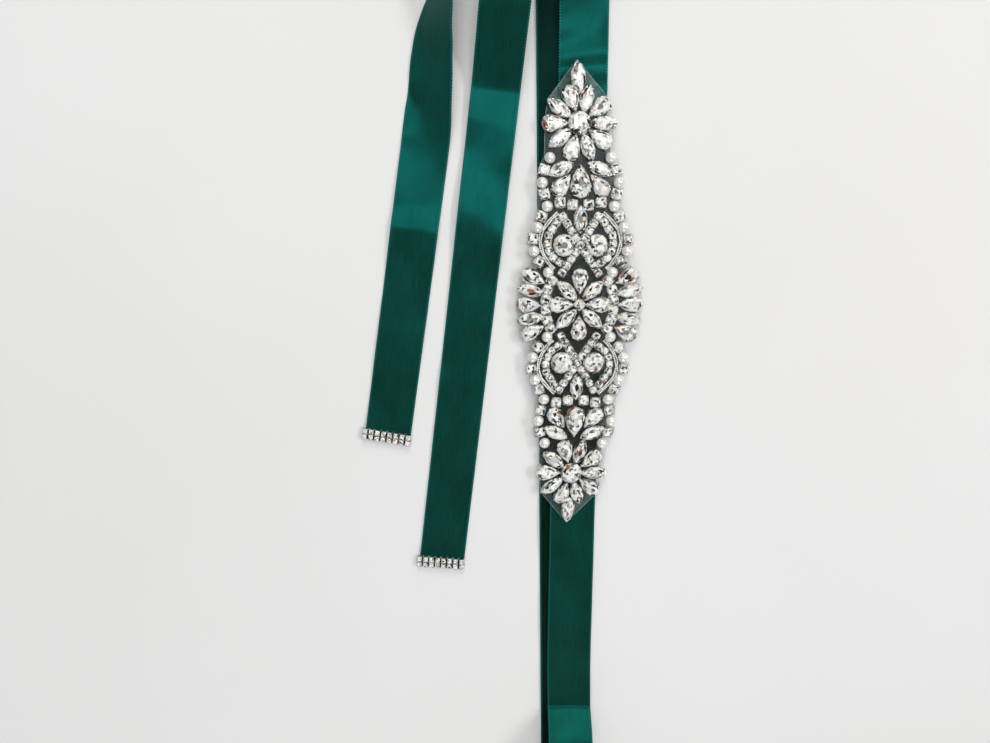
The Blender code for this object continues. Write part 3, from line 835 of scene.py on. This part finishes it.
def pick_facet_light():
    pick = chance.random()
    for share, colour in FACET_PAINTED_LIGHT:
        pick -= share
        if pick < 0:
            break
    shade = 0.85 + 0.3 * chance.random()
    return [min(1.0, channel * shade) for channel in colour] + [1.0]


def paint_facet_light(faces, facet_light):
    colour = pick_facet_light()
    for face in faces:
        for loop in face.loops:
            loop[facet_light] = colour


def set_stone(bm, kind, middle, turn, base, sizes, facet_light):
    """A cut stone: a dome of rings, each turned half a side against the one below."""
    width, length, height = sizes
    sides = CUT_SIDES.get(kind, PETAL_SIDES)
    rings = [bmesh.ops.create_circle(bm, cap_ends=False, segments=sides, radius=1.0)["verts"]
             for _ in FACET_RINGS]
    for ring, (reach, share, turns) in zip(rings, FACET_RINGS):
        for i, vert in enumerate(ring):
            angle = 2 * math.pi * (i + turns / 2) / sides
            x, y = outline_point(kind, angle, width * reach, length * reach)
            vert.co = set_down(middle, turn, x, y, base + height * share)
    for lower, upper in zip(rings, rings[1:]):
        for i in range(sides):
            j = (i + 1) % sides
            paint_facet_light([bm.faces.new((lower[i], lower[j], upper[i])),
                        bm.faces.new((lower[j], upper[j], upper[i]))], facet_light)
    top = bm.faces.new(rings[-1])
    paint_facet_light([top, bm.faces.new(rings[0][::-1])], facet_light)
    bmesh.ops.poke(bm, faces=[top])


bm = bmesh.new()
facet_light = bm.loops.layers.float_color.new("facet_painted_light")
for kind, x, y, turn in placed:
    if kind != "pearl":
        set_stone(bm, kind, (x, y), turn, FILM_TOP, STONES[kind], facet_light)
bend_along_bow(bm)


def cut_crystal(name, glint_scale, darkest):
    """Foil-backed glass: the painted light and shade of each cut face, broken up by a fine painted
    glitter.
    """
    material, shader, nodes, links = new_finish(name)
    facet_layer = nodes.new("ShaderNodeVertexColor")
    facet_layer.layer_name = "facet_painted_light"
    painted_glints = nodes.new("ShaderNodeTexVoronoi")
    painted_glints.distance = "MANHATTAN"
    painted_glints.inputs["Scale"].default_value = glint_scale
    links.new(nodes.new("ShaderNodeTexCoord").outputs["Object"], painted_glints.inputs["Vector"])
    split = nodes.new("ShaderNodeSeparateColor")
    links.new(painted_glints.outputs["Color"], split.inputs["Color"])
    inner = ramp_of(nodes, links, split.outputs["Red"],
                    [(0.0, (darkest,) * 3), (0.08, (2 * darkest,) * 3), (0.13, (0.50, 0.50, 0.49)),
                     (0.35, (0.90, 0.90, 0.89)), (1.0, (1.0, 1.0, 1.0))])
    broken_up = mix_of(nodes, links, facet_layer.outputs["Color"], inner, "MULTIPLY")
    broken_up.inputs["Factor"].default_value = 0.95
    links.new(broken_up.outputs["Result"], shader.inputs["Base Color"])
    shader.inputs["Specular IOR Level"].default_value = 0.3
    shader.inputs["Roughness"].default_value = 0.12
    shader.inputs["Coat Weight"].default_value = 0.25
    shader.inputs["Coat Roughness"].default_value = 0.02
    return material


add_piece("crystals", bm, cut_crystal("foil_backed_crystal", 760.0, 0.05))


# Settings: stamped silver-plated cups, one round each crystal and standing down into the bed of
# painted shade.
# Their claws are bent over the crystals' edges.

CUP_RIM = 0.1
CUP_HEIGHT_SHARE = 0.58
CUP_SUNK = 0.1
CLAW_ANGLES = {
    "pear": (40, 130, 230, 320),
    "large_pear": (40, 130, 230, 320),
    "navette": (38, 142, 218, 322),
    "tip_navette": (38, 142, 218, 322),
    "round": (0, 60, 120, 180, 240, 300),
    "square": (45, 135, 225, 315),
    "chain": (45, 135, 225, 315),
}
CLAW_WIDTH = 0.85
CLAW_DEPTH = 0.6
CLAW_TIP_SHARE = 0.7
CLAW_FOOT_OUT = 0.25
CLAW_TIP_IN = 0.75
CLAW_HEIGHT_SHARE = 0.92
CLAW_OVER_STONE = 0.1


def set_cup(bm, kind, middle, turn, base, sizes):
    """A cup that follows the stone's outline, and its claws."""
    width, length, height = sizes
    sides = CUT_SIDES.get(kind, PETAL_SIDES)
    ring = bmesh.ops.create_circle(bm, cap_ends=True, segments=sides, radius=1.0)["verts"]
    for i, vert in enumerate(ring):
        x, y = outline_point(kind, 2 * math.pi * i / sides, width + CUP_RIM, length + CUP_RIM)
        vert.co = set_down(middle, turn, x, y, base)
    raise_faces(bm, [ring[0].link_faces[0]], height * CUP_HEIGHT_SHARE)
    for degrees in CLAW_ANGLES[kind]:
        x, y = outline_point(kind, math.radians(degrees), width, length)
        facing = math.atan2(y, x)
        for vert in bmesh.ops.create_cube(bm, size=1.0)["verts"]:
            top = vert.co.z > 0
            across = vert.co.y * CLAW_WIDTH * (CLAW_TIP_SHARE if top else 1.0)
            out = vert.co.x * CLAW_DEPTH + (-CLAW_TIP_IN if top else CLAW_FOOT_OUT)
            level = height * CLAW_HEIGHT_SHARE + CLAW_OVER_STONE if top else 0.0
            vert.co = set_down(middle, turn,
                               x + out * math.cos(facing) - across * math.sin(facing),
                               y + out * math.sin(facing) + across * math.cos(facing),
                               base + level)


bm = bmesh.new()
for kind, x, y, turn in placed:
    if kind != "pearl":
        set_cup(bm, kind, (x, y), turn, FILM_TOP - CUP_SUNK, STONES[kind])
bmesh.ops.recalc_face_normals(bm, faces=bm.faces)
bend_along_bow(bm)

# The silver is darker in random patches.
silver, shader, nodes, links, silver_mottle = mottled_finish(
    "silver_plate", 260.0, 3.0, [(0.3, (0.34, 0.335, 0.32)), (0.65, (0.82, 0.81, 0.78))])
shader.inputs["Metallic"].default_value = 1.0
links.new(range_of(nodes, links, silver_mottle, (0.0, 1.0), (0.18, 0.42)), shader.inputs["Roughness"])
add_piece("settings", bm, silver)


# Pearls: ivory glass pearls with a soft lustre, drilled through and sewn down to the film
# between the square settings.

PEARL_RADIUS = 2.9
PEARL_SUNK = 0.15
pearl_lustre, shader, nodes, links, layers = mottled_finish(
    "pearl_lustre", 180.0, 2.0, [(0.3, (0.84, 0.83, 0.81)), (0.7, (0.94, 0.935, 0.92))], 0.26)
shader.inputs["Metallic"].default_value = 0.42
shader.inputs["Coat Weight"].default_value = 0.6
shader.inputs["Coat Roughness"].default_value = 0.12
shader.inputs["Sheen Weight"].default_value = 0.25
links.new(bump_of(nodes, links, layers, 0.00004, 0.3), shader.inputs["Normal"])

bm = bmesh.new()
for kind, x, y, turn in placed:
    if kind == "pearl":
        middle = (x, y, FILM_TOP + PEARL_RADIUS - PEARL_SUNK)
        bmesh.ops.create_uvsphere(bm, u_segments=18, v_segments=12, radius=PEARL_RADIUS,
                                  matrix=Matrix.Translation(middle))
bend_along_bow(bm)
add_piece("pearls", bm, pearl_lustre, smooth=True)


# Bead cords: two strands of silver-lined glass seed beads, twisted round each other. They are
# couched down in an arc outside each ring of cup chain.

BEAD_RADIUS = 0.58
BEAD_PITCH = 0.95
TWIST_LENGTH = 7.0
CORD_OUT = 0.4
CORD_HEIGHT = 1.9
STRAND_OUT = 0.52
STRAND_SWAY = 0.1
STRAND_RISE = 0.15
BEAD_ARC = [(11.7, 47.1), (14.5, 44.8), (16.9, 42.1), (19.3, 38.9), (20.5, 35.8), (20.7, 32.7),
            (20.0, 29.1), (18.4, 25.2), (16.0, 21.6), (13.6, 19.3)]
bm = bmesh.new()
beads = even_points(BEAD_ARC, BEAD_PITCH)
for side_x in (1, -1):
    for side_y in (1, -1):
        for i, (x, y, turn) in enumerate(beads):
            phase = 2 * math.pi * i * BEAD_PITCH / TWIST_LENGTH
            normal = math.radians(turn + 90)
            for strand in (1, -1):
                off = CORD_OUT + strand * (STRAND_OUT + STRAND_SWAY * math.cos(phase))
                up = CORD_HEIGHT + strand * STRAND_RISE * math.sin(phase)
                spot = (side_x * (x + off * math.cos(normal)),
                        side_y * (y + off * math.sin(normal)), FILM_TOP + up)
                bmesh.ops.create_icosphere(bm, subdivisions=1, radius=BEAD_RADIUS,
                                           matrix=Matrix.Translation(spot))
bend_along_bow(bm)
bead_glass, shader, nodes, links, _ = mottled_finish(
    "silver_lined_beads", 700.0, 1.0, [(0.3, (0.62, 0.62, 0.60)), (0.6, (0.98, 0.98, 0.96))], 0.2)
shader.inputs["Metallic"].default_value = 0.1
add_piece("bead_cords", bm, bead_glass, smooth=True)


# Tips: two rows of eight small crystals in silver cups, over each cut end of the ribbon.
# A hem, a short strip of the same ribbon with its darkened reverse outwards, is folded over the
# cut end, and the cups are sewn to it. That reverse is painted shade in the gaps between the
# columns of stones.

TIP_STONES_IN_A_ROW = 8
TIP_STONE_PITCH = 3.4
TIP_ROW_OFFSET = 1.55
TIP_STONE = (2.9, 2.65, 1.7)  # width, length, height
TIP_BASE = 1.6
TIP_CUP_SUNK = 0.4
TIP_WIDTH = 27.0
TIP_OVERHANG_LEFT = 1.6
HEM_LENGTH = 5.6
HEM_THICKNESS = 0.5
HEM_MIDDLE_HEIGHT = 1.15
HEM_SHORTER = 1.6
HEM_ROUNDING = 0.12
TIPS = [
    # x, y, heading, name
    (long_tail_x(LONG_TAIL_TIP_Y), LONG_TAIL_TIP_Y, 4.8, "long"),
    (SHORT_TAIL_ROWS[-1][1], SHORT_TAIL_TIP_Y, 9.6, "short"),
]


def tip_middle(cut_x, cut_y, heading):
    """The middle of a tip, which is a little wider than the ribbon and set to its left."""
    across = across_heading(heading_vector(heading))
    return Vector((cut_x, cut_y, 0)) + across * (TIP_WIDTH / 2 - RIBBON_WIDTH / 2
                                                - TIP_OVERHANG_LEFT)


# The tip stones carry the same painted reflections and glints, but their darkest shade is kept
# light.
tip_crystal = cut_crystal("tip_crystal", 900.0, 0.55)
for cut_x, cut_y, heading, name in TIPS:
    outward = -heading_vector(heading)
    across = across_heading(heading_vector(heading))
    middle = tip_middle(cut_x, cut_y, heading)
    stones_bm = bmesh.new()
    facet_light = stones_bm.loops.layers.float_color.new("facet_painted_light")
    cups_bm = bmesh.new()
    for place_in_row in range(TIP_STONES_IN_A_ROW):
        shift = (place_in_row - (TIP_STONES_IN_A_ROW - 1) / 2) * TIP_STONE_PITCH
        for row in (-TIP_ROW_OFFSET, TIP_ROW_OFFSET):
            spot = middle + across * shift + outward * row
            set_stone(stones_bm, "square", spot, -heading, TIP_BASE, TIP_STONE, facet_light)
            set_cup(cups_bm, "square", spot, -heading, TIP_BASE - TIP_CUP_SUNK, TIP_STONE)
    bmesh.ops.recalc_face_normals(cups_bm, faces=cups_bm.faces)

    hem_bm = bmesh.new()
    hem_bm.loops.layers.uv.new("weave")
    bmesh.ops.create_cube(hem_bm, size=1.0, calc_uvs=True)
    bmesh.ops.bevel(hem_bm, geom=hem_bm.edges[:], offset=HEM_ROUNDING, segments=2, profile=0.5,
                    affect="EDGES", material=-1)
    for vert in hem_bm.verts:
        vert.co = (middle + across * (vert.co.x * (TIP_WIDTH - HEM_SHORTER))
                   + outward * (vert.co.y * HEM_LENGTH)
                   + Vector((0, 0, HEM_MIDDLE_HEIGHT + vert.co.z * HEM_THICKNESS)))
    # The hem takes the darkened reverse: painted shade in the gaps between the stones.
    add_piece("tip_hem_" + name, hem_bm, painted_shade_reverse)
    add_piece("tip_stones_" + name, stones_bm, tip_crystal)
    tip_cups = add_piece("tip_cups_" + name, cups_bm, silver)
    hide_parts("tip_" + name)


# Sewing thread: teal polyester. Short tacks hold the film's pointed ends to the front ribbon,
# and a tack in each gap between the columns of stones holds a tip to its cut end.

THREAD_THICKNESS = 0.4
RIBBON_TOP = 1.9
TACK_LENGTH = 2.6
TACK_SHARES = (0.16, 0.42)
TACK_OVER_FILM = 0.05
TACK_SUNK = 0.1
TIP_TACK_LENGTH = 1.8
TIP_TACK_START = 2.2
TIP_TACK_TOP = 1.5
TIP_TACK_FOOT = 0.62
thread, shader, nodes, links, plies = mottled_finish(
    "polyester_thread", 2400.0, 1.0,
    [(0.35, (0.003, 0.045, 0.038)), (0.65, (0.010, 0.13, 0.115))], 0.45)
links.new(bump_of(nodes, links, plies, 0.00005, 0.6), shader.inputs["Normal"])


def add_tack(bm, start, end):
    """A straight stitch between two points, sunk a little at both ends."""
    tack = bmesh.ops.create_cone(bm, cap_ends=True, segments=8, radius1=THREAD_THICKNESS / 2,
                                 radius2=THREAD_THICKNESS / 2, depth=(end - start).length)
    turn = (end - start).to_track_quat("Z", "Y").to_matrix()
    bmesh.ops.rotate(bm, verts=tack["verts"], cent=(0, 0, 0), matrix=turn)
    bmesh.ops.translate(bm, verts=tack["verts"], vec=(start + end) / 2)


bm = bmesh.new()
tip_point, shoulder = (Vector((*spot, 0.0)) for spot in FILM_OUTLINE[:2])
edge_along = (shoulder - tip_point).normalized()
edge_out = Vector((-edge_along.y, edge_along.x, 0.0))
for share in TACK_SHARES:
    crossing = tip_point.lerp(shoulder, share)
    for side_x in (1, -1):
        for side_y in (1, -1):
            ends = []
            for off, level in ((-0.5, FILM_TOP + TACK_OVER_FILM), (0.5, RIBBON_TOP - TACK_SUNK)):
                spot = crossing + edge_out * (off * TACK_LENGTH)
                ends.append(Vector((*bowed(side_x * spot.x, side_y * spot.y), level)))
            add_tack(bm, *ends)
add_piece("applique_tacks", bm, thread)

bm = bmesh.new()
for cut_x, cut_y, heading, name in TIPS:
    inward = heading_vector(heading)
    across = across_heading(inward)
    middle = tip_middle(cut_x, cut_y, heading)
    for gap in range(TIP_STONES_IN_A_ROW - 1):
        spot = middle + across * ((gap - (TIP_STONES_IN_A_ROW - 2) / 2) * TIP_STONE_PITCH)
        start = spot + inward * TIP_TACK_START
        end = start + inward * TIP_TACK_LENGTH
        add_tack(bm, start + Vector((0, 0, TIP_TACK_TOP)), end + Vector((0, 0, TIP_TACK_FOOT)))
add_piece("tip_tacks", bm, thread)
